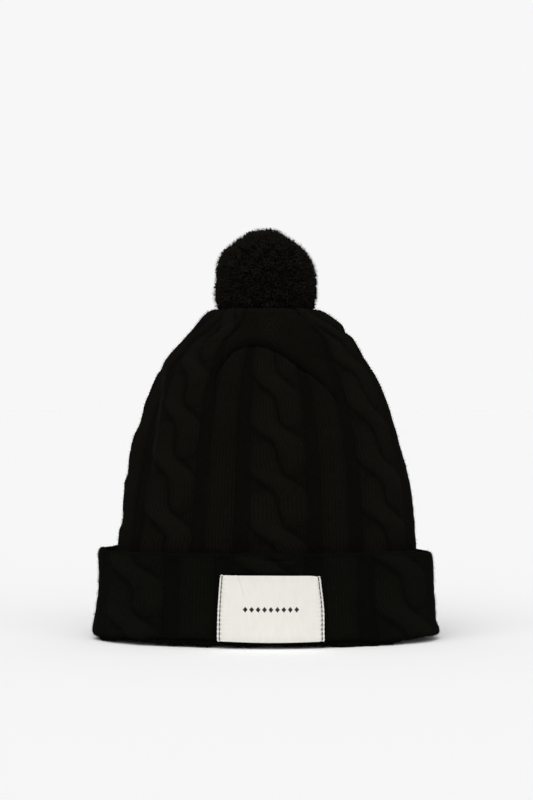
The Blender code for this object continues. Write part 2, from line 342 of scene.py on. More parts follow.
def resample(path, spacing, closed=False):
    """The path with even spacing, smoothed through its own points."""
    dense = []
    count = len(path)
    for index in range(count if closed else count - 1):
        near = np.arange(index - 1, index + 3)
        p = path[near % count if closed else np.clip(near, 0, count - 1)]
        for t in np.linspace(0, 1, 8, endpoint=False):
            dense.append(0.5 * (
                2 * p[1] + (p[2] - p[0]) * t
                + (2 * p[0] - 5 * p[1] + 4 * p[2] - p[3]) * t * t
                + (3 * p[1] - p[0] - 3 * p[2] + p[3]) * t ** 3
            ))
    dense.append(path[0] if closed else path[-1])
    dense = np.array(dense)
    run = run_along(dense)
    count = max(4, int(round(run[-1] / spacing)))
    wanted = np.linspace(0, run[-1], count, endpoint=not closed)
    return np.stack([np.interp(wanted, run, dense[:, axis]) for axis in range(3)], axis=1)


# ---------------------------------------------------------------- materials

def new_material(name, roughness, specular, sheen=0.0, sheen_roughness=0.5):
    material = bpy.data.materials.new(name)
    material.use_nodes = True
    shader = material.node_tree.nodes["Principled BSDF"]
    shader.inputs["Roughness"].default_value = roughness
    shader.inputs["Specular IOR Level"].default_value = specular
    shader.inputs["Sheen Weight"].default_value = sheen
    shader.inputs["Sheen Roughness"].default_value = sheen_roughness
    return material, material.node_tree, shader


def add_node(tree, kind, **values):
    node = tree.nodes.new(kind)
    for key, value in values.items():
        setattr(node, key, value)
    return node


def math_node(tree, operation, *values):
    node = add_node(tree, "ShaderNodeMath", operation=operation)
    for slot, value in zip(node.inputs, values):
        if isinstance(value, (int, float)):
            slot.default_value = value
        else:
            tree.links.new(value, slot)
    return node.outputs[0]


def sine_node(tree, value, factor):
    return math_node(tree, "SINE", math_node(tree, "MULTIPLY", value, factor))


def weighted(tree, *terms):
    """The sum of (value, weight) terms."""
    total = 0.0
    for value, weight in terms:
        total = math_node(tree, "MULTIPLY_ADD", value, weight, total)
    return total


def attribute_parts(tree, name):
    """The three parts of a vector stored on the mesh."""
    stored = add_node(tree, "ShaderNodeAttribute", attribute_name=name)
    parts = add_node(tree, "ShaderNodeSeparateXYZ")
    tree.links.new(stored.outputs["Vector"], parts.inputs[0])
    return parts.outputs


def noise_node(tree, scale, detail, stretch=None):
    """Noise over the object's own coordinates; scale is in cells per metre."""
    coordinates = add_node(tree, "ShaderNodeTexCoord").outputs["Object"]
    if stretch:
        mapping = add_node(tree, "ShaderNodeMapping")
        mapping.inputs["Scale"].default_value = stretch
        tree.links.new(coordinates, mapping.inputs["Vector"])
        coordinates = mapping.outputs["Vector"]
    noise = add_node(tree, "ShaderNodeTexNoise")
    noise.inputs["Scale"].default_value = scale
    noise.inputs["Detail"].default_value = detail
    tree.links.new(coordinates, noise.inputs["Vector"])
    return noise.outputs["Fac"]


def ramp_node(tree, factor, stops):
    ramp = add_node(tree, "ShaderNodeValToRGB")
    ramp.color_ramp.elements[0].position = stops[0][0]
    ramp.color_ramp.elements[0].color = (*stops[0][1], 1)
    ramp.color_ramp.elements[1].position = stops[-1][0]
    ramp.color_ramp.elements[1].color = (*stops[-1][1], 1)
    for position, colour in stops[1:-1]:
        ramp.color_ramp.elements.new(position).color = (*colour, 1)
    tree.links.new(factor, ramp.inputs["Fac"])
    return ramp.outputs["Color"]


def bump_node(tree, shader, height, strength, distance):
    bump = add_node(tree, "ShaderNodeBump")
    bump.inputs["Strength"].default_value = strength
    bump.inputs["Distance"].default_value = distance
    tree.links.new(height, bump.inputs["Height"])
    tree.links.new(bump.outputs["Normal"], shader.inputs["Normal"])


def finish_surface(tree, shader, tone, stops, rough):
    tree.links.new(ramp_node(tree, tone, stops), shader.inputs["Base Color"])
    tree.links.new(rough, shader.inputs["Roughness"])


def wool_knit(name, valley, middle, ridge):
    """Brushed black wool. The attribute "knit" holds wale, course and tone; the tone is painted
    shade and highlight, darker in the knit's hollows and lighter on its ridges.
    """
    material, tree, shader = new_material(name, 0.95, 0.0, sheen=0.006, sheen_roughness=0.6)
    wale, course, relief = attribute_parts(tree, "knit")
    in_wale = math_node(tree, "FRACT", wale)
    side = math_node(tree, "ABSOLUTE", math_node(tree, "SUBTRACT", in_wale, 0.5))
    leg = math_node(tree, "ABSOLUTE", sine_node(tree, in_wale, 2 * math.pi))
    rows = sine_node(tree, math_node(tree, "SUBTRACT", course, side), 2 * math.pi)
    stitch = math_node(tree, "MULTIPLY", leg, math_node(tree, "MULTIPLY_ADD", rows, 0.35, 0.65))
    fibre = noise_node(tree, 900, 5.0, (1.0, 1.0, 0.35))
    fuzz = noise_node(tree, 2600, 2.0)
    blotch = noise_node(tree, 45, 3.0)
    height = weighted(tree, (stitch, 0.55), (fibre, 0.6), (fuzz, 0.35))
    bump_node(tree, shader, height, 0.75, 0.45 * MM)
    # relief here holds the stored tone, which is painted shade and highlight: it darkens the hollows
    # and lightens the ridges and stitch tops
    tone = weighted(tree, (relief, 0.72), (fibre, 0.22), (blotch, 0.14))
    finish_surface(tree, shader, tone, [(0.12, valley), (0.55, middle), (0.98, ridge)],
                   math_node(tree, "MULTIPLY_ADD", fibre, 0.12, 0.86))
    return material


def yarn_material(name, dark, light, roughness, scale=1500):
    """Twisted yarn or thread, mottled along its fibres."""
    material, tree, shader = new_material(name, roughness, 0.02)
    fibre = noise_node(tree, scale, 4.0, (1.0, 1.0, 0.4))
    blotch = noise_node(tree, scale / 12, 2.0)
    tone = weighted(tree, (fibre, 0.6), (blotch, 0.4))
    finish_surface(tree, shader, tone, [(0.3, dark), (0.7, light)],
                   math_node(tree, "MULTIPLY_ADD", blotch, 0.15, roughness - 0.08))
    bump_node(tree, shader, fibre, 0.5, 0.15 * MM)
    return material


def woven_material(name, low, high, thread, roughness, sheen, bump):
    """Plain weave: warp and weft threads that pass over and under each other."""
    material, tree, shader = new_material(name, roughness, 0.3, sheen=sheen)
    across, up, shade = attribute_parts(tree, "weave")
    over = math_node(
        tree, "MULTIPLY", sine_node(tree, across, math.pi / thread),
        sine_node(tree, up, math.pi / thread))
    slub = noise_node(tree, 420, 3.0, (1.0, 1.0, 0.3))
    fibre = noise_node(tree, 2400, 3.0)
    bump_node(tree, shader, weighted(tree, (over, 0.3), (fibre, 0.5)), bump, 0.12 * MM)
    tone = weighted(tree, (slub, 0.35), (over, 0.10), (shade, 0.5))
    finish_surface(tree, shader, tone, [(0.1, low), (0.75, high)],
                   math_node(tree, "MULTIPLY_ADD", fibre, 0.15, roughness - 0.08))
    return material


# ---------------------------------------------------------------- the hat's form

def bezier(corners, steps):
    t = np.linspace(0, 1, steps + 1)[1:, None]
    start, start_pull, end_pull, end = (np.array(c) for c in corners)
    return (
        (1 - t) ** 3 * start + 3 * t * (1 - t) ** 2 * start_pull
        + 3 * t * t * (1 - t) * end_pull + t ** 3 * end
    )


def body_outline():
    """The body's outer profile, rim to eyelet, as rows of half width, half depth, height."""
    rim = np.array([RIM_HALF_WIDTH, RIM_HALF_DEPTH, BODY_FOOT])
    waist = np.array([WAIST_HALF_WIDTH, WAIST_HALF_DEPTH, CUFF_TOP])
    ridge = np.array([RIDGE_RADIUS, RIDGE_RADIUS * 0.93, RIDGE_HEIGHT])
    lower = rim + (waist - rim) * np.linspace(0, 1, FOOT_STEPS)[:, None]
    pulls = np.array([(97, 56, 120), (88, 57, 178), (34, 32, 227)]) * MM
    shoulder = bezier((waist, pulls[0], pulls[1], ridge), SHOULDER_STEPS)
    nest_pull = (28 * MM, 27 * MM, NEST_FLOOR + 1 * MM)
    nest = bezier((ridge, pulls[2], nest_pull, (10 * MM, 10 * MM, NEST_FLOOR)), NEST_STEPS)
    eyelet = np.array([[EYELET_RADIUS, EYELET_RADIUS, NEST_FLOOR]])
    return np.concatenate([lower, shoulder, nest, eyelet])


def run_length(profile):
    """Distance along a profile, on its mean radius."""
    return run_along(np.column_stack([profile[:, :2].mean(axis=1), profile[:, 2]]))


def at_run(profile, run, wanted):
    return np.stack([np.interp(wanted, run, profile[:, axis]) for axis in range(3)], axis=1)


def inset_profile(profile, distance):
    """The profile moved square to itself, towards the inside of the hat."""
    run = np.gradient(profile[:, :2].mean(axis=1))
    rise = np.gradient(profile[:, 2])
    outward = np.column_stack([rise, rise, -run]) / np.maximum(np.hypot(run, rise), 1e-12)[:, None]
    moved = profile - outward * distance
    moved[:, :2] = np.maximum(moved[:, :2], EYELET_RADIUS)
    return moved


def oval_grid(profile, around):
    """Points of the oval rings of a profile, evenly spread along each ring."""
    turn = np.linspace(0, 2 * np.pi, 721)
    points = np.empty((len(profile), len(around), 3))
    for index, (width, depth, height) in enumerate(profile):
        speed = np.hypot(width * np.cos(turn), depth * np.sin(turn))
        run = np.concatenate([[0], np.cumsum((speed[1:] + speed[:-1]) / 2)])
        angle = np.interp(around * run[-1], run, turn)
        points[index, :, 0] = width * np.sin(angle)
        points[index, :, 1] = -depth * np.cos(angle)
        points[index, :, 2] = height
    return points


def grid_normals(points, wrap_rows):
    around = np.roll(points, -1, axis=1) - np.roll(points, 1, axis=1)
    if wrap_rows:
        along = np.roll(points, -1, axis=0) - np.roll(points, 1, axis=0)
    else:
        along = np.gradient(points, axis=0)
    return unit(np.cross(around, along))


# ---------------------------------------------------------------- the knit's relief

def stockinette(wale, course):
    """V-shaped stitches: one wale is one unit wide and one course one unit high."""
    in_wale = wale - np.floor(wale)
    side = np.abs(in_wale - 0.5) * 2
    leg = np.sin(np.pi * in_wale) ** 0.8
    return leg * (0.70 + 0.30 * np.cos(2 * np.pi * (course - 0.5 * side)))


def purl(wale, course):
    """The back of a stitch: short bars in rows."""
    wave = course + 0.22 * np.cos(2 * np.pi * wale)
    return 0.35 + 0.35 * np.cos(2 * np.pi * wave)


def soften(field, passes):
    """The field blurred a little; it wraps along its second axis."""
    for _ in range(passes):
        field = (
            6 * field + 4 * np.roll(field, 1, axis=1) + 4 * np.roll(field, -1, axis=1)
            + np.roll(field, 2, axis=1) + np.roll(field, -2, axis=1)
        ) / 16
        tall = np.pad(field, ((2, 2), (0, 0)), mode="edge")
        field = (6 * tall[2:-2] + 4 * tall[1:-3] + 4 * tall[3:-1] + tall[:-4] + tall[4:]) / 16
    return field


def cable_strands(across, phase):
    """Height and wale coordinate over a rope cable; across is -1..1, phase one per crossing."""
    turn = np.pi * phase - STRAND_DWELL * np.sin(2 * np.pi * phase)
    across, turn = np.broadcast_arrays(across, turn)
    best = CABLE_BED * np.sqrt(np.clip(1 - across ** 4, 0, 1))
    wale = across * CABLE_WALES / 2
    for strand in (0, 1):
        angle = turn + np.pi * strand
        middle = 0.5 * np.cos(angle)
        half = 0.57 + 0.05 * np.sin(angle)
        apart = (across - middle) / half
        round_top = np.sqrt(np.clip(1 - apart ** 2, 0, 1))
        height = np.where(
            np.abs(apart) < 1,
            round_top * STRAND_RELIEF
            + CROSSING_LIFT * (0.35 + 0.65 * np.sin(angle)) * round_top ** 0.4,
            -1.0,
        )
        on_top = height > best
        best = np.where(on_top, height, best)
        wale = np.where(on_top, apart * CABLE_WALES / 4 + 0.5 * strand, wale)
    return np.maximum(best, 0.0), wale


def from_pattern_middle(around, shift):
    """Signed turns from the front cable, -0.5 to 0.5."""
    return (around - shift + 0.5) % 1.0 - 0.5


def knit_relief(u, s, repeats, shift, crossings, eaten, gauge):
    """Relief, wale, course and tone of the cable pattern; the tone is painted shade and highlight.

    u is in turns around the hat and s the distance up the fabric. crossings gives a repeat's
    offset of its crossings, eaten 0..1 how far the crown's decreases have closed the purl
    channels, and gauge how many more wales a repeat has than the pattern's own.
    """
    repeat = (u - shift) * repeats + 0.5
    number = np.floor(repeat)
    place = repeat - number - 0.5
    waver = 0.012 * soft_noise(u, s / 0.4, 5 * repeats, 60, 61)
    place = place + waver * np.clip(1 - (2 * np.abs(place)) ** 4, 0, 1)
    size = np.abs(place)
    cable_half = CABLE_WALES / 2 / WALES + 0.035 * eaten
    channel = CHANNEL_WALES / WALES - 0.060 * eaten
    rib_half = 0.5 - cable_half - channel
    course = s / COURSE

    phase = (s - crossings(number % repeats)) / CABLE_PERIOD + 0.5
    phase = phase + 0.05 * np.sin(1.7 * s / CABLE_PERIOD + 2.4 * number)    # never quite regular
    cable_height, cable_wale = cable_strands(place / cable_half, phase)
    in_cable = size < cable_half
    in_rib = size > cable_half + channel

    rib_place = np.clip((0.5 - size) / rib_half, 0, 1)
    rib_height = RIB_RELIEF * np.sqrt(np.clip(1 - rib_place ** 3, 0, 1))
    rib_wale = np.sign(place) * rib_place * RIB_WALES / 2
    channel_place = np.clip((size - cable_half) / channel, 0, 1)
    channel_wale = channel_place * CHANNEL_WALES

    height = soften(np.where(in_cable, cable_height, np.where(in_rib, rib_height, 0.0)), 3)
    wale = np.where(in_cable, cable_wale, np.where(in_rib, rib_wale, channel_wale)) * gauge
    face = stockinette(wale, course)
    back = purl(channel_wale, course) * 0.9
    stitch = np.where(in_cable | in_rib, face, back)
    fade = np.where(in_cable, np.clip(cable_height / (1.2 * MM), 0.35, 1), 1.0)
    total = height + stitch * STITCH_RELIEF * fade * (1 - 0.3 * eaten)
    # painted shade in the cables' hollows, where the relief dips below its softened surroundings
    hollow_shade = np.clip((soften(height, 10) - height) / (0.35 * MM), 0, 1) * in_cable
    # painted highlight: lighter on the raised strands, ribs and stitch tops
    tone = 0.3 + 0.3 * np.clip(height / (STRAND_RELIEF + CROSSING_LIFT), 0, 1) + 0.3 * stitch
    return total, wale, course, tone - 0.34 * hollow_shade


def crease(points, line, depth, width, overhang=0.0):
    """A crease in the front face along a line of (x, z) points that runs towards +X.

    The fabric under the line is pushed in and the fabric over it stands out by overhang.
    """
    line = resample(np.column_stack([line, np.zeros(len(line))]), 4 * MM)
    x, z = points[..., 0], points[..., 2]
    nearest = np.full(x.shape, 1e9)
    signed = np.zeros(x.shape)
    fade = np.zeros(x.shape)
    count = len(line) - 1
    for index, ((x0, z0, _), (x1, z1, _)) in enumerate(zip(line, line[1:])):
        length = math.hypot(x1 - x0, z1 - z0)
        dx, dz = (x1 - x0) / length, (z1 - z0) / length
        along = np.clip((x - x0) * dx + (z - z0) * dz, 0, length)
        off_x, off_z = x - x0 - along * dx, z - z0 - along * dz
        distance = np.hypot(off_x, off_z)
        closer = distance < nearest
        nearest = np.where(closer, distance, nearest)
        signed = np.where(closer, np.sign(dx * off_z - dz * off_x) * distance, signed)
        place = (index + along / length) / count
        fade = np.where(closer, np.clip(4.6 * place * (1 - place), 0, 1) ** 1.4, fade)
    sink = -depth * bell(nearest, 0, width)
    under = np.where(signed < 0, -overhang * np.exp(-nearest / UNDER_REACH), 0.0)
    over = overhang * bell(signed, OVER_MIDDLE, OVER_WIDTH)
    return np.where(points[..., 1] < 0, (sink + under + over) * fade, 0.0)


# ---------------------------------------------------------------- pieces

def fold_middle(height):
    """The front panel leans a little to the left as it closes."""
    return 7 * MM - 0.45 * np.maximum(height - 160 * MM, 0)


def fold_line():
    """Where the crown folds over the front panel: (x, z) points, left to right."""
    left = np.column_stack([fold_middle(FOLD_LEVELS) - FOLD_HALF_WIDTHS, FOLD_LEVELS])
    right = np.column_stack([fold_middle(FOLD_LEVELS) + FOLD_HALF_WIDTHS, FOLD_LEVELS])
    return np.concatenate([left, right[-2::-1]])


def body_crossings(number):
    """Each cable's offset: the ones beside the front cable cross a little higher."""
    beside = np.minimum(number, BODY_REPEATS - number)
    return 102.0 * MM + np.choose(beside.astype(int), [0, 11.5, 4.0, 17.0]) * MM


def lean(points, fade):
    """The hat sits a little to the right, and its crown more so."""
    height = points[..., 2]
    aside = 0.6 * MM * smooth_step(62 * MM, 100 * MM, height)
    aside = aside + 1.7 * MM * smooth_step(185 * MM, 206 * MM, height)
    points[..., 0] += aside * fade


def crown_panel(outer, drawn_in, course):
    """The panel over the fold: where it is, and its relief, wale and tone.

    Its wales sweep up to the middle, where they meet in a notch.
    """
    level = outer[..., 2]
    aside = outer[..., 0] - fold_middle(level)
    past_fold = np.abs(aside) > np.interp(level, FOLD_LEVELS, FOLD_HALF_WIDTHS)
    inside = past_fold & (level > FOLD_LEVELS[0]) & (np.abs(drawn_in) < 0.088)
    across = np.abs(outer[..., 0] - 1 * MM) / (2.4 * MM)
    wale = across * 0.75 + (level - FOLD_LEVELS[-1]) / (3.6 * MM)
    notch = bell(across, 0, 2.6) * bell(level, 209 * MM, 7 * MM)
    stitch = stockinette(wale, course)
    relief = 1.0 * MM + stitch * STITCH_RELIEF * (0.55 + 1.6 * notch)
    relief += 1.3 * MM * bell(across, 6.5, 3.6) - 0.9 * MM * notch
    # the tone is a painted highlight on the stitch tops, strongest at the notch
    return inside, relief, wale, 0.45 + (0.12 + 0.3 * notch) * stitch


def body_folds(u, v, s, ridge):
    """Slow unevenness of the fabric, and the crown's gathers."""
    wobble = noise_sum(
        u, v, (1.1 * MM, 9, 6, 11), (0.6 * MM, 31, 17, 12), (0.28 * MM, 130, 60, 17),
        (0.12 * MM, 420, 160, 13))
    gathers = np.cos(2 * np.pi * (11 * u + 0.35 * soft_noise(u, v, 7, 5, 14)))
    return wobble + smooth_step(ridge - 40 * MM, ridge, s) * 0.8 * MM * gathers


def body_creases(outer):
    """Height of the ridge at the left, and of the fold and the crown's two darts."""
    left_ridge = np.array([(-76, 108), (-72, 148), (-66, 180), (-61, 194)]) * MM
    left_dart = np.array([(-46, 197), (-30, 209), (-15, 217)]) * MM
    right_dart = np.array([(14, 221), (33, 210), (50, 196)]) * MM
    raised = -crease(outer, left_ridge, 0.8 * MM, 1.2 * MM)
    sunk = fold_crease(outer)
    sunk += crease(outer, left_dart, 1.8 * MM, 1.8 * MM)
    sunk += crease(outer, right_dart, 2.0 * MM, 1.8 * MM)
    return raised, sunk


def fold_crease(points):
    return crease(points, fold_line(), 2.4 * MM, 1.5 * MM, overhang=1.7 * MM)


def body_fullness(outer, s, ridge):
    """Where the shape stands off the plain outline: crown, left shoulder and left foot."""
    x = outer[..., 0]
    level = outer[..., 2]
    roll = plateau(s, ridge - 18 * MM, ridge - 4 * MM, ridge + 3 * MM, ridge + 14 * MM)
    crown = plateau(level, 188 * MM, 204 * MM, 208 * MM, 220 * MM) * (s < ridge + 4 * MM)
    shoulder = bell(level, 190 * MM, 15 * MM) * smooth_step(-52 * MM, -66 * MM, x)
    foot = plateau(level, HIDDEN_TOP, HIDDEN_TOP + 14 * MM, 78 * MM, 110 * MM)
    foot = foot * smooth_step(-84 * MM, -96 * MM, x)
    return (3.0 * roll + 1.5 * crown + 2.8 * shoulder - 1.6 * foot) * MM


def body_outside(outline, around):
    """The right side of the knit: points and the values of "knit", row by row from the foot."""
    base = inset_profile(outline, BASE_INSET)
    run = run_length(base)
    ridge = run[RIDGE_STEP]
    fine_top = run[RIDGE_STEP + NEST_STEPS // 2] - 10 * MM
    rows = np.concatenate([
        np.arange(0, HIDDEN_TOP, 4 * MM),
        np.arange(HIDDEN_TOP, fine_top, FINE_ROW),
        np.arange(fine_top, run[-1], 1.0 * MM),
    ])
    outer = oval_grid(at_run(base, run, rows), around)
    normals = grid_normals(outer, False)

    u, s = np.meshgrid(around, rows, indexing="xy")
    off_middle = from_pattern_middle(u, BODY_SHIFT)
    front = 1 - smooth_step(0.16, 0.45, np.abs(off_middle))
    spread = off_middle - FRONT_SPREAD * np.sin(2 * np.pi * off_middle)
    drawn_in = spread * (1 + 0.42 * front * smooth_step(ridge - 24 * MM, ridge - 2 * MM, s))
    relief, wale, course, tone = knit_relief(
        drawn_in + BODY_SHIFT, s, BODY_REPEATS, BODY_SHIFT, body_crossings,
        smooth_step(ridge - 62 * MM, ridge - 4 * MM, s), 1.0)
    panel, panel_relief, panel_wale, panel_tone = crown_panel(outer, drawn_in, course)
    relief = np.where(panel, panel_relief, relief)
    wale = np.where(panel, panel_wale, wale)
    tone = np.where(panel, panel_tone, tone)

    near_ridge = 1 - 0.72 * smooth_step(ridge - 24 * MM, ridge - 4 * MM, s)
    calm = near_ridge * smooth_step(HIDDEN_TOP - 8 * MM, HIDDEN_TOP + 6 * MM, s)    # 0 in the cuff
    raised, sunk = body_creases(outer)
    # painted highlight along the left ridge, lighter by the ridge's height
    tone = tone + 0.55 * raised / MM
    seam = bell(u, 0.5, 3.0 / BODY_COLUMNS)
    height = (relief + body_folds(u, s / run[-1], s, ridge)) * calm + raised + sunk
    height += body_fullness(outer, s, ridge)
    height += 0.35 * MM * seam * np.cos(2 * np.pi * course) - 1.5 * MM * seam * calm
    outer = outer + normals * height[..., None]
    lean(outer, 1 - smooth_step(ridge - 14 * MM, ridge + 4 * MM, s))
    return outer, np.stack([wale, course, tone], axis=-1)


def body_inside(outline, around):
    """The wrong side: points and the values of "knit", row by row down to the foot."""
    profile = inset_profile(outline, BASE_INSET + FABRIC)
    run = run_length(profile)
    rows = np.arange(0, run[-1], COARSE_ROW)[::-1]
    inner = oval_grid(at_run(profile, run, rows), around)
    normals = grid_normals(inner, False)
    u, s = np.meshgrid(around, rows, indexing="xy")
    relief = 0.5 * MM * soft_noise(u, s / run[-1], 200, 100, 15)
    wave = 0.4 * MM * np.cos(2 * np.pi * (u - BODY_SHIFT) * BODY_REPEATS)
    height = relief + wave - fold_crease(inner)
    inner = inner + normals * height[..., None]
    ridge = run_length(inset_profile(outline, BASE_INSET))[RIDGE_STEP]
    lean(inner, 1 - smooth_step(ridge - 18 * MM, ridge, s))
    # the tone here is painted shade and highlight, lighter on the raised bumps of the wrong side
    knit = np.stack([u * BODY_REPEATS * WALES, s / COURSE, 0.25 + relief / MM * 0.3], axis=-1)
    return inner, knit


def make_body(material):
    outline = body_outline()
    around = np.arange(BODY_COLUMNS) / BODY_COLUMNS
    outer, outer_knit = body_outside(outline, around)
    inner, inner_knit = body_inside(outline, around)
    points = np.concatenate([outer, inner])
    body = build_mesh(
        "knit_body_fabric", points.reshape(-1, 3),
        [grid_faces(len(points), BODY_COLUMNS, True, True)], material)
    set_attribute(body, "knit", np.concatenate([outer_knit, inner_knit]).reshape(-1, 3))
    return body, outer, grid_normals(outer, False)


def cuff_crossings(number):
    """Each of the turn-up's cables crosses at its own height."""
    return 16.0 * MM + 1.5 * MM * np.sin(number * 2.1)


def cuff_walls(height):
    """Half width and half depth of the turn-up's wall line at a height."""
    flare = CUFF_FLARE * np.clip(1 - height / (50 * MM), 0, 1) ** 2
    return CUFF_HALF_WIDTH + flare, CUFF_HALF_DEPTH + flare


def cuff_section():
    """The turn-up's section as (inset from the wall line, height), rim first, all round."""
    top = CUFF_TOP / MM
    step = LAYER_STEP / MM
    section = [
        (12.0, 4.2), (12.0, 1.6), (11.0, 0.4), (9.0, 0.0), (6.6, 0.1), (5.2, 0.9),
        (4.4, 2.3), (4.9, 4.0), (5.4, step + 0.3), (3.8, step), (2.2, step + 0.2),
        (0.9, step + 1.4), (0.2, step + 3.6),
    ]
    section += [(0.0, height) for height in np.linspace(step + 7, top - 5.5, 12)]
    section += [
        (0.3, top - 2.6), (1.1, top - 0.9), (2.4, top - 0.2), (3.6, top - 0.7), (4.4, top - 2.4),
    ]
    section += [(5.0, height) for height in np.linspace(top - 6, 9, 10)]
    section += [(5.8, 6.2), (8.5, 4.9)]
    return np.array(section) * MM


def cuff_rows():
    """Run, inset and height of each row of the turn-up, closer where the knit shows."""
    section = cuff_section()
    padded = np.column_stack([section, np.zeros(len(section))])
    smooth = resample(padded, 0.3 * MM, closed=True)[:, :2]
    run = run_along(smooth)
    in_wall = (smooth[:, 0] < 3.9 * MM) & (smooth[:, 1] > LAYER_STEP - 1 * MM)
    rows = [0.0]
    while rows[-1] < run[-1] - 0.5 * MM:
        fine = in_wall[np.searchsorted(run, rows[-1])] or rows[-1] < 14 * MM
        rows.append(rows[-1] + (FINE_ROW if fine else COARSE_ROW))
    rows = np.array(rows[:-1])
    return rows, np.interp(rows, run, smooth[:, 0]), np.interp(rows, run, smooth[:, 1])


def behind_label(points, inset):
    """1 where the label covers the turn-up, fading out around it."""
    x, y, z = np.moveaxis(points, -1, 0)
    across = plateau(x, LABEL_LEFT - 3 * MM, LABEL_LEFT + 1 * MM,
                     LABEL_RIGHT - 1 * MM, LABEL_RIGHT + 3 * MM)
    up = 1 - smooth_step(LABEL_HIGH - 0.5 * MM, LABEL_HIGH + 4 * MM, z)
    return across * up * (y < 0) * (inset < 3.5 * MM)


def wave_edges(points, u, inset, height):
    """The step between the layers, the rim and the top edge, none of them quite straight."""
    flat = np.zeros_like(u)
    up = height / CUFF_TOP
    ends = smooth_step(96 * MM, 112 * MM, np.abs(points[..., 0]))
    near_step = bell(height, LAYER_STEP + 1 * MM, 4 * MM) * (inset < 5.6 * MM)
    step_wave = noise_sum(u, flat, (1.0 * MM, 13, 1, 26), (0.8 * MM, 47, 1, 27))
    points[..., 2] += (step_wave - 1.5 * MM * ends) * near_step
    points[..., 0] += np.where(points[..., 0] > 0, 2.4 * MM, -0.8 * MM) * ends * near_step
    x = points[..., 0]
    rim_wave = 1.2 + 3.2 * bell(x, -80 * MM, 20 * MM) + 2.6 * bell(x, 97 * MM, 16 * MM)
    rim_wave += noise_sum(u, flat, (1.2, 31, 1, 28), (0.6, 83, 1, 33), (0.5, 190, 1, 30))
    points[..., 2] += rim_wave * MM * bell(height, 0, 3 * MM)
    points[..., 2] -= 2.6 * MM * smooth_step(92 * MM, 113 * MM, x) * smooth_step(0.7, 1.0, up)
    top_wave = noise_sum(u, flat, (0.5 * MM, 19, 1, 31), (0.25 * MM, 90, 1, 32))
    points[..., 2] += top_wave * smooth_step(0.75, 1.0, up)
    points[..., 2] = np.maximum(points[..., 2], 0.0)


def make_cuff(material):
    """The turn-up, and the points and normals of its wall and its hem."""
    rows, row_inset, row_height = cuff_rows()
    width, depth = cuff_walls(row_height)
    around = np.arange(CUFF_COLUMNS) / CUFF_COLUMNS
    profile = np.stack([width - row_inset, depth - row_inset, row_height], axis=1)
    points = oval_grid(profile, around)
    normals = grid_normals(points, True)
    inset = row_inset[:, None]
    height = row_height[:, None]

    foot = LAYER_STEP + 2 * MM
    rows = rows - rows[np.argmax(row_height > foot)] + foot     # so that s is the wall's height
    u, s = np.meshgrid(around, rows, indexing="xy")
    up = np.broadcast_to(height / CUFF_TOP, u.shape)
    relief, wale, course, tone = knit_relief(
        u, s, CUFF_REPEATS, CUFF_SHIFT, cuff_crossings, 0.0, CUFF_GAUGE)
    relief = relief * CUFF_RELIEF
    outside = 1 - smooth_step(3.0 * MM, 5.2 * MM, inset)
    outside = outside * smooth_step(LAYER_STEP - 1 * MM, LAYER_STEP + 3 * MM, height)
    top_edge = smooth_step(CUFF_TOP - 4.5 * MM, CUFF_TOP - 1.0 * MM, height)
    keep = outside * (1 - 0.8 * top_edge)
    wobble = noise_sum(
        u, up, (0.8 * MM, 11, 2, 21), (0.6 * MM, 37, 5, 22), (0.28 * MM, 150, 18, 29),
        (0.12 * MM, 480, 60, 23))
    turns = CUFF_REPEATS * WALES * CUFF_GAUGE
    edge = top_edge * (np.abs(np.sin(np.pi * u * turns)) * 0.7 * MM - 0.3 * MM)
    lobe = 1 - smooth_step(3.2 * MM, 5.2 * MM, height)      # the hem that hangs below the step
    rag = noise_sum(u, up, (0.9 * MM, 90, 1, 24), (0.5 * MM, 250, 1, 25))
    hem_relief = relief * 0.35 * (1 - smooth_step(5 * MM, 9 * MM, inset))
    bar = 0.35 * MM * (1 - keep) * (1 - lobe) * np.cos(2 * np.pi * u * turns)   # the wrong side
    seam = bell(u, 0.5, 3.0 / CUFF_COLUMNS)
    covered = behind_label(points, inset)
    relief = (relief - 1.6 * MM) * (1 - covered) - 0.9 * MM * covered
    displaced = (relief + wobble * (1 - 0.9 * covered) - 1.3 * MM * seam) * keep
    displaced += edge + (rag + hem_relief) * lobe + bar
    displaced += crease(points, np.array([(-9, 58), (6, 57.2), (21, 58)]) * MM, 1.6 * MM, 0.9 * MM)
    points = points + normals * displaced[..., None]
    wave_edges(points, u, inset, height)

    cuff = build_mesh(
        "turn_up_cuff_fabric", points.reshape(-1, 3),
        [grid_faces(*u.shape, True, True)], material)
    # painted highlight on the raised ticks of the top edge, with the plain base tone off the outer
    # wall
    tone = tone * keep + 0.3 * (1 - keep) + 0.25 * edge / MM
    set_attribute(cuff, "knit", np.stack([wale, course, tone], axis=-1).reshape(-1, 3))
    normals = grid_normals(points, True)
    wall = (row_inset < 3 * MM) & (row_height > LAYER_STEP)
    hem = (row_inset < 9 * MM) & (row_height < LAYER_STEP + 1 * MM)
    return cuff, (points[wall], normals[wall]), (points[hem], normals[hem])


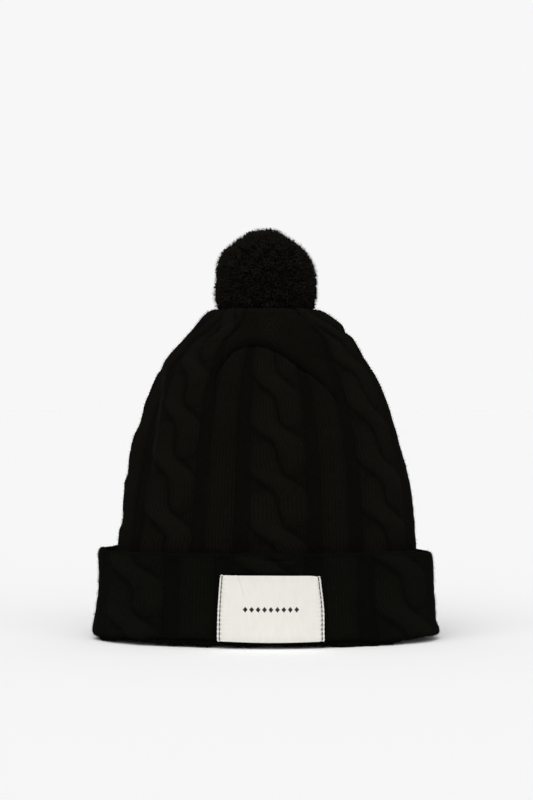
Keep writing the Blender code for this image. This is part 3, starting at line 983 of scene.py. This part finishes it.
def make_fuzz(name, points, normals, count, length, seed, material):
    """Loose fibres that stand off the brushed yarn, over a grid of points."""
    random = np.random.default_rng(seed)
    rows, columns = points.shape[:2]
    row = random.integers(1, rows - 1, count)
    column = random.integers(0, columns, count)
    root = points[row, column]
    normal = normals[row, column]
    side = unit(np.cross(normal, random.normal(size=(count, 3))))
    reach = length * random.uniform(0.45, 1.0, (count, 1))
    slant = random.uniform(0.2, 1.1, (count, 1))
    middle = root + normal * reach * 0.5 + side * reach * 0.25 * slant
    tip = root + normal * reach * 0.8 + side * reach * 0.8 * slant
    middle[:, 2] = np.maximum(middle[:, 2], 0.1 * MM)
    tip[:, 2] = np.maximum(tip[:, 2], 0.1 * MM)
    centres = np.stack([root - normal * 0.2 * MM, middle, tip], axis=1)
    return strands(name, centres, np.array([0.05, 0.04, 0.012]) * MM, 3, material)


def ball_directions(count, seed, jitter):
    """Even directions over a ball, slightly disordered."""
    index = np.arange(count) + 0.5
    polar = np.arccos(1 - 2 * index / count)
    turn = np.pi * (1 + 5 ** 0.5) * index
    spread = np.stack([
        np.cos(turn) * np.sin(polar), np.sin(turn) * np.sin(polar), np.cos(polar)
    ], axis=1)
    random = np.random.default_rng(seed)
    return unit(spread + random.normal(scale=jitter, size=spread.shape))


def pom_surface(directions):
    """The pile's outer distance from its middle.

    It is lumpy, spread where it meets the crown, and clipped short inside the crown's nest so
    that the pompom can tilt.
    """
    x, y, z = directions.T
    lumps = (
        0.6 * np.sin(3.1 * x + 1.3) * np.cos(4.3 * z - 0.4)
        + 0.5 * np.sin(5.7 * y + 2.1) * np.sin(5.2 * x - 1.1)
        + 0.4 * np.cos(8.3 * z + 3.9 * x)
        + 0.3 * np.sin(11.0 * x + 9.0 * y) * np.cos(10.0 * z)
    )
    dents = sum(
        depth * np.exp((directions @ unit(np.array(towards)) - 1) / width ** 2)
        for towards, depth, width in POM_DENTS)
    skirt = 2.6 * bell(z, -0.54, 0.28)
    nested = 5.5 * smooth_step(-0.60, -0.78, z)
    return POM_RADIUS + (0.45 * lumps - dents + skirt - nested + 0.6) * MM


def make_tufts(centre, random, material):
    """Cut yarn ends: plied tufts that lean together in clumps and open at their tips."""
    directions = ball_directions(TUFTS, 42, 0.012)
    outer = pom_surface(directions) + random.normal(scale=0.7 * MM, size=TUFTS)
    bend = unit(np.cross(directions, random.normal(size=(TUFTS, 3))))
    sway = random.uniform(0.3, 2.6, (TUFTS, 1)) * MM
    clumps = ball_directions(TUFT_CLUMPS, 44, 0.07)
    owner = np.argmax(directions @ clumps.T, axis=1)
    outer += random.normal(scale=0.6 * MM, size=len(clumps))[owner]
    draw = (clumps[owner] - directions) * outer[:, None] * random.uniform(0.2, 0.5, (TUFTS, 1))
    centres = np.stack([
        centre + directions * (outer * reach)[:, None]
        + (bend * sway + draw) * ((reach - TUFT_FOOT) / (1 - TUFT_FOOT)) ** 1.6
        for reach in (TUFT_FOOT, 0.86, 0.955, 1.0)
    ], axis=1)
    thick = random.uniform(0.54, 0.76, (TUFTS, 1)) * MM
    return strands("pom_tufts", centres, thick * [0.8, 1.0, 1.05, 0.7], 5, material)


def make_pom_fibres(centre, random, material):
    """Fine fibres that stand out past the tufts."""
    directions = ball_directions(POM_FIBRES, 43, 0.05)
    outer = pom_surface(directions)[:, None]
    bend = unit(np.cross(directions, random.normal(size=(POM_FIBRES, 3))))
    reach = random.uniform(0.3, 3.0, (POM_FIBRES, 1)) * MM
    root = centre + directions * (outer - 2.0 * MM)
    middle = centre + directions * (outer - 0.2 * MM) + bend * reach * 0.4
    tip = centre + directions * (outer + reach) + bend * reach * 0.9
    return strands("pom_fibres", np.stack([root, middle, tip], axis=1),
                   np.array([0.09, 0.07, 0.02]) * MM, 3, material)


def make_pom_core(centre, random, material):
    """The dark ball that closes the gaps between the tufts."""
    bm = bmesh.new()
    bmesh.ops.create_icosphere(bm, subdivisions=5, radius=1.0)
    mesh = bpy.data.meshes.new("pom_core")
    bm.to_mesh(mesh)
    bm.free()
    flat = np.empty(len(mesh.vertices) * 3, dtype=np.float32)
    mesh.vertices.foreach_get("co", flat)
    ways = unit(flat.reshape(-1, 3).astype(float))
    grain = random.normal(scale=0.35 * MM, size=len(ways))
    shell = centre + ways * (pom_surface(ways) * 0.90 + grain)[:, None]
    mesh.vertices.foreach_set("co", shell.astype(np.float32).ravel())
    mesh.shade_smooth()
    mesh.materials.append(material)
    return add_object("pom_core", mesh)


def front_point(x, z, lift):
    """A point on the front of the cuff's wall line."""
    width, depth = cuff_walls(z)
    angle = np.arcsin(np.clip(x / width, -1, 1))
    y = -depth * np.cos(angle)
    normal = unit(np.stack([x / width ** 2, y / depth ** 2, np.zeros_like(x)], axis=-1))
    return np.stack([x, y, z], axis=-1) + normal * np.asarray(lift)[..., None]


def label_edges(up):
    """Left and right edge of the label at a height fraction: a little narrower at the top."""
    left = LABEL_LEFT + 2.0 * MM * up - 0.5 * MM * np.sin(np.pi * up)
    right = LABEL_RIGHT - 2.6 * MM * up + 0.9 * MM * np.sin(np.pi * (1 - up)) ** 2
    return left, right


def label_face(across, up):
    """Point of the label's face; both fractions run 0..1."""
    left, right = label_edges(up)
    x = left + (right - left) * across
    z = LABEL_LOW + LABEL_HEIGHT * up - 0.3 * MM * across           # a little askew
    z = z - 0.6 * MM * np.sin(np.pi * across) * (1 - up)            # its lower edge sags
    z = z - 0.8 * MM * smooth_step(0.88, 1.0, across) * up          # the top right corner droops
    z = z + 0.3 * MM * smooth_step(0.93, 1, across) * (1 - up)      # and the one below it lifts
    inset = LABEL_STITCH / LABEL_WIDTH
    stitch = bell(across, inset, 0.012) + bell(across, 1 - inset, 0.012)
    puff = 0.9 * MM * np.sin(np.pi * np.clip(across, 0, 1)) ** 0.5 * (0.6 + 0.4 * np.sin(np.pi * up))
    tension = 0.18 * MM * np.cos(2 * np.pi * up * LABEL_HEIGHT / STITCH_PITCH)
    tension = tension * (bell(across, 0, 0.06) + bell(across, 1, 0.06))
    crease_place = (across - 0.17 - 0.13 * (1 - up) * 1.6) / 0.02
    crease_place = crease_place / (0.6 + 0.4 * across)
    pressed = 0.55 * MM * bell(crease_place, 0, 1) * smooth_step(0.45, 0.8, up)
    soft = 0.3 * MM * np.sin(5.0 * across + 2.2 * up + 0.5) * np.sin(np.pi * up)
    lift = LABEL_LIFT + puff - 0.6 * MM * stitch + tension - pressed + soft
    return front_point(x, z, lift)


def make_label(cloth):
    columns, rows = 236, 146
    across, up = unit_grid(rows, columns)
    face = label_face(across, up)
    corner = np.hypot(np.maximum(0, 0.03 - np.minimum(across, 1 - across)) * 60,
                      np.maximum(0, 0.045 - np.minimum(up, 1 - up)) * 40)
    inward = np.clip(corner - 1.5, 0, 1)[..., None] * [0.6 * MM, 0, 0.6 * MM]
    face -= inward * np.stack([np.sign(across - 0.5), across * 0, np.sign(up - 0.5)], axis=-1)
    edge = np.minimum.reduce([across * 20, (1 - across) * 20, up * 13, (1 - up) * 13])
    rolled = 0.38 * MM * (1 - np.clip(edge, 0, 1)) ** 2
    weave = 0.05 * MM * np.sin(across * columns * np.pi / 2) * np.sin(up * rows * np.pi / 2)
    normals = unit(np.cross(np.gradient(face, axis=1), np.gradient(face, axis=0)))
    top = face + normals * (weave - rolled)[..., None]
    bottom = face - normals * (0.75 * MM - rolled * 0.5)[..., None]
    label = thin_sheet("front_label_cloth", top, bottom, cloth)
    shade = 0.9 - 0.35 * (1 - np.clip(edge * 0.6, 0, 1))
    set_weave(label, across * LABEL_WIDTH, up * LABEL_HEIGHT, shade)
    return label


def make_motif(thread):
    """A row of nine small embroidered diamonds, each a stack of threads."""
    size = 2.9 * MM
    threads = 11
    arch = np.array([0.0, 0.14, 0.14, 0.0])[:, None] * MM
    lines = []
    for number in range(-4, 5):
        middle = 0.5 + number * 4.2 * MM / LABEL_WIDTH
        for line in range(threads):
            t = (line + 0.5) / threads * 2 - 1
            half = size * 0.55 * (1 - abs(t))
            level = 0.49 + t * size * 0.62 / LABEL_HEIGHT
            across = np.array([-1.0, -0.4, 0.4, 1.0]) * half / LABEL_WIDTH + middle
            lines.append(label_face(across, np.full(4, level)) + FORWARD * arch)
    return strands("label_motif", np.array(lines), 0.14 * MM, 5, thread)


def make_label_stitches(name, side, material):
    """A row of lockstitches that dip into the cloth at both ends."""
    end = 0.4 * MM
    span = LABEL_HEIGHT - 2 * end
    count = int(span / STITCH_PITCH)
    across = 0.5 + side * (0.5 - LABEL_STITCH / LABEL_WIDTH)
    arch = np.array([-0.35, 0.12, 0.30, 0.34, 0.30, 0.12, -0.35])[:, None] * MM
    rows = []
    for number in range(count):
        ups = end + (number + np.linspace(0.03, 0.97, len(arch))) * span / count
        sideways = np.full(len(arch), across + 0.0006 * math.sin(number * 2.3))
        rows.append(label_face(sideways, ups / LABEL_HEIGHT) + FORWARD * arch)
    return strands(name, np.array(rows), 0.27 * MM, 6, material)


def make_care_label(cloth, thread):
    low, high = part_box("care_label")
    rows = 56
    across, down = unit_grid(rows, 40)
    x = low.x + (high.x - low.x) * across
    z = high.z - (high.z - low.z) * down
    bow = 0.9 * MM * np.sin(np.pi * down) + 0.4 * MM * np.sin(2.4 * across + 3 * down)
    y = (low.y + high.y) / 2 - bow * down
    half = 0.28 * MM
    rib = 0.04 * MM * np.sin(down * rows * np.pi)
    front = np.stack([x, y - half - rib, z], axis=-1)
    back = np.stack([x, y + half, z], axis=-1)
    tag = thin_sheet("care_label_tape", front, back, cloth, flip=True)
    set_weave(tag, across * (high.x - low.x), down * (high.z - low.z), 0.8)

    low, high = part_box("care_label_stitch")
    count = 8
    arch = np.array([-0.25, 0.1, 0.2, 0.1, -0.25]) * MM
    number = np.arange(count)[:, None]
    x = low.x + (high.x - low.x) * (number + np.linspace(0.08, 0.92, len(arch))) / count
    y = np.full(x.shape, (low.y + high.y) / 2)
    z = np.broadcast_to((low.z + high.z) / 2 + arch, x.shape)
    return tag, strands("care_label_thread", np.stack([x, y, z], axis=-1), 0.24 * MM, 6, thread)


def wavy_ring(half_width, half_depth, height, count, waves, in_out, up_down):
    """An oval ring round the axis that waves in and out, and up and down."""
    turn = 2 * np.pi * np.arange(count) / count
    wave = in_out * np.cos(turn * waves)
    return np.stack([
        (half_width + wave) * np.sin(turn), -(half_depth + wave) * np.cos(turn),
        height + up_down * np.sin(turn * waves),
    ], axis=1)


def zigzag(width, depths, heights):
    """A seam's yarn up the middle of the back, going over from side to side."""
    return np.stack([width * (-1.0) ** np.arange(len(heights)), depths, heights], axis=1)


def back_seam_path():
    """Inside the body's wall, from just over the rim to just under the ridge."""
    inside = inset_profile(body_outline(), BASE_INSET + FABRIC + 1.2 * MM)[3:95]
    run = run_length(inside)
    path = at_run(inside, run, np.arange(0, run[-1], 2 * MM))
    return zigzag(0.55 * MM, path[:, 1], path[:, 2])


def binding_path(low, high, turns=5):
    """The wraps round the tie, as a helix."""
    t = np.linspace(0, 1, turns * 28)
    radius = (high.x - low.x) / 2 - 1.0 * MM
    return np.stack([
        radius * np.cos(2 * np.pi * turns * t), radius * np.sin(2 * np.pi * turns * t),
        low.z + 1.0 * MM + (high.z - low.z - 2 * MM) * t,
    ], axis=1)


def knot_path(low, high):
    """A trefoil knot."""
    t = np.linspace(0, 2 * np.pi, 60, endpoint=False)
    knot = np.stack([
        (np.sin(t) + 2 * np.sin(2 * t)) / 3, (np.cos(t) - 2 * np.cos(2 * t)) / 3,
        -np.sin(3 * t) * 0.8,
    ], axis=1)
    return knot * ((high.z - low.z) / 2 - 1.1 * MM) + [0, 0, (low.z + high.z) / 2]


def make_yarns(cord):
    """The strands inside the hat, by the CAD node that each replaces."""
    made = {}
    low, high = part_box("link_seam_yarn")
    ring = wavy_ring(high.x - 0.8 * MM, high.y - 0.8 * MM, (low.z + high.z) / 2, 180, 60,
                     0.5 * MM, 0.4 * MM)
    made["link_seam_yarn"] = plied_yarn("rim_linking_yarn", ring, 0.62 * MM, cord, closed=True)

    made["back_seam_yarn"] = plied_yarn("body_seam_yarn", back_seam_path(), 0.6 * MM, cord)

    low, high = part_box("cuff_seam_yarn")
    heights = np.linspace(low.z, high.z, 24)
    seam = zigzag(0.3 * MM, cuff_walls(heights)[1] - 6.3 * MM, heights)
    made["cuff_seam_yarn"] = plied_yarn("cuff_seam_strand", seam, 0.42 * MM, cord)

    low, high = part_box("crown_gather_yarn")
    radius = (high.x - low.x) / 2 - 0.8 * MM
    ring = wavy_ring(radius, radius, (low.z + high.z) / 2, 36, 12, 0.0, 0.25 * MM)
    made["crown_gather_yarn"] = plied_yarn("crown_gather_strand", ring, 0.62 * MM, cord, closed=True)

    low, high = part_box("pom_tie_yarn")
    tie = np.linspace([0, 0, low.z], [0, 0, high.z], 8)
    made["pom_tie_yarn"] = plied_yarn("pom_tie_strand", tie, 1.25 * MM, cord, plies=4, pitch=7 * MM)

    wrap = binding_path(*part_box("pom_binding"))
    made["pom_binding"] = plied_yarn("pom_binding_wrap", wrap, 0.85 * MM, cord)

    knot = knot_path(*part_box("tie_knot"))
    made["tie_knot"] = plied_yarn("tie_knot_loops", knot, 1.15 * MM, cord, closed=True, pitch=5 * MM)
    return made


# ---------------------------------------------------------------- stage

def make_floor():
    material, _, shader = new_material("stage_floor", 0.9, 0.0)
    shader.inputs["Base Color"].default_value = PAPER
    corners = np.array([[-1, -1, 0], [1, -1, 0], [1, 1, 0], [-1, 1, 0]]) * FLOOR_HALF
    floor = build_mesh("stage_floor", corners, [np.array([[0, 1, 2, 3]])], material)


def make_world():
    """Even light, and behind the hat the tone that the floor has."""
    world = bpy.data.worlds.new("studio")
    world.use_nodes = True
    tree = world.node_tree
    background = tree.nodes["Background"]
    background.inputs["Color"].default_value = (1.0, 1.0, 1.0, 1)
    background.inputs["Strength"].default_value = 0.40
    seen = add_node(tree, "ShaderNodeBackground")
    seen.inputs["Color"].default_value = PAPER
    rays = add_node(tree, "ShaderNodeLightPath")
    mix = add_node(tree, "ShaderNodeMixShader")
    tree.links.new(rays.outputs["Is Camera Ray"], mix.inputs[0])
    tree.links.new(background.outputs[0], mix.inputs[1])
    tree.links.new(seen.outputs[0], mix.inputs[2])
    tree.links.new(mix.outputs[0], tree.nodes["World Output"].inputs["Surface"])
    bpy.context.scene.world = world


def make_light(name, energy, spread, tilt, turn):
    """A wide, distant lamp; the angles are in degrees."""
    light = bpy.data.lights.new(name, "SUN")
    light.energy = energy
    light.angle = math.radians(spread)
    lamp = add_object(name, light)
    lamp.rotation_euler = (math.radians(tilt), 0, math.radians(turn))


def make_camera():
    data = bpy.data.cameras.new("camera")
    data.sensor_width = 36
    data.lens = data.sensor_width * VIEW_DISTANCE / FRAME_HEIGHT
    data.clip_end = 100
    camera = add_object("camera", data)
    camera.location = (VIEW_ASIDE, -VIEW_DISTANCE, VIEW_HEIGHT)
    camera.rotation_euler = (math.radians(90), 0, 0)
    bpy.context.scene.camera = camera
    bpy.context.scene.view_settings.view_transform = "Standard"


# ---------------------------------------------------------------- assembly

def make_materials():
    """The object's materials, by what is made of them."""
    return {
        # each knit's three colours run from painted shade in the hollows, through the yarn's own
        # black, to painted highlight on the ridges
        "body": wool_knit("black_wool_knit", (0.0010, 0.0009, 0.0006),
                          (0.0035, 0.0031, 0.0022), (0.0080, 0.0072, 0.0052)),
        "cuff": wool_knit("black_wool_cuff", (0.0008, 0.0008, 0.0006),
                          (0.0029, 0.0029, 0.0021), (0.0065, 0.0067, 0.0048)),
        "pile": yarn_material("black_wool_pile", (0.0056, 0.0050, 0.0038),
                              (0.0094, 0.0085, 0.0065), 0.95),
        "fuzz": yarn_material("black_wool_fuzz", (0.0050, 0.0045, 0.0034),
                              (0.0125, 0.0113, 0.0086), 0.95),
        "cord": yarn_material("black_wool_cord", (0.0026, 0.0024, 0.0018),
                              (0.0100, 0.0092, 0.0074), 0.9),
        "thread": yarn_material("black_sewing_thread", (0.004, 0.004, 0.004),
                                (0.014, 0.014, 0.013), 0.6, 3000),
        "white_thread": yarn_material("white_sewing_thread", (0.62, 0.61, 0.58),
                                      (0.78, 0.77, 0.74), 0.6, 3000),
        "label": woven_material("off_white_cotton", (0.54, 0.53, 0.49), (0.69, 0.68, 0.635),
                                0.36 * MM, 0.85, 0.05, 0.5),
        "care_label": woven_material("white_satin_tape", (0.66, 0.66, 0.64), (0.82, 0.82, 0.80),
                                     0.22 * MM, 0.45, 0.1, 0.3),
    }


def main():
    make_floor()
    make_world()
    make_light("key_light", 1.72, 60, 36, -20)
    make_light("fill_light", 1.15, 80, 66, 18)
    make_camera()

    looks = make_materials()
    fuzz = looks["fuzz"]
    thread = looks["thread"]
    body, body_points, body_normals = make_body(looks["body"])
    cuff, cuff_wall, cuff_hem = make_cuff(looks["cuff"])
    shown = slice(12, None)         # the rows under these are behind the cuff
    body_fuzz = make_fuzz("body_fuzz", body_points[shown], body_normals[shown],
                          BODY_FIBRES, FUZZ_LENGTH, 51, fuzz)
    cuff_fuzz = make_fuzz("cuff_fuzz", *cuff_wall, CUFF_FIBRES, FUZZ_LENGTH, 52, fuzz)
    hem_fuzz = make_fuzz("hem_fuzz", *cuff_hem, HEM_FIBRES, 2.0 * MM, 53, fuzz)
    pom_centre = np.array([0, 0, POM_CENTRE])
    pom_random = np.random.default_rng(41)
    tufts = make_tufts(pom_centre, pom_random, looks["pile"])
    hair = make_pom_fibres(pom_centre, pom_random, fuzz)
    core = make_pom_core(pom_centre, pom_random, looks["pile"])
    label = make_label(looks["label"])
    motif = make_motif(thread)
    left = make_label_stitches("label_thread_left", -1, thread)
    right = make_label_stitches("label_thread_right", 1, thread)
    tag, tag_stitches = make_care_label(looks["care_label"], looks["white_thread"])
    yarns = make_yarns(looks["cord"])

    knitwear = (body, cuff, body_fuzz, cuff_fuzz, hem_fuzz)
    for piece in (*knitwear, label, motif, left, right, tag_stitches):
        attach(piece, "root")
    for piece in (tufts, hair, core):
        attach(piece, "pom")
    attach(tag, "care_tag")
    bodies = frame["record"]["behaviour"]["bodies"]
    for node, piece in yarns.items():
        owner = next(name for name, nodes in bodies.items() if node in nodes)
        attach(piece, owner)
        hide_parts(node)

    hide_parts("knit_body")
    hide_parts("turn_up_cuff")
    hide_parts("pom_pile")
    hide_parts("front_label")
    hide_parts("label_stitch_left")
    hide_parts("label_stitch_right")
    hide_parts("care_label")
    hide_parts("care_label_stitch")


main()
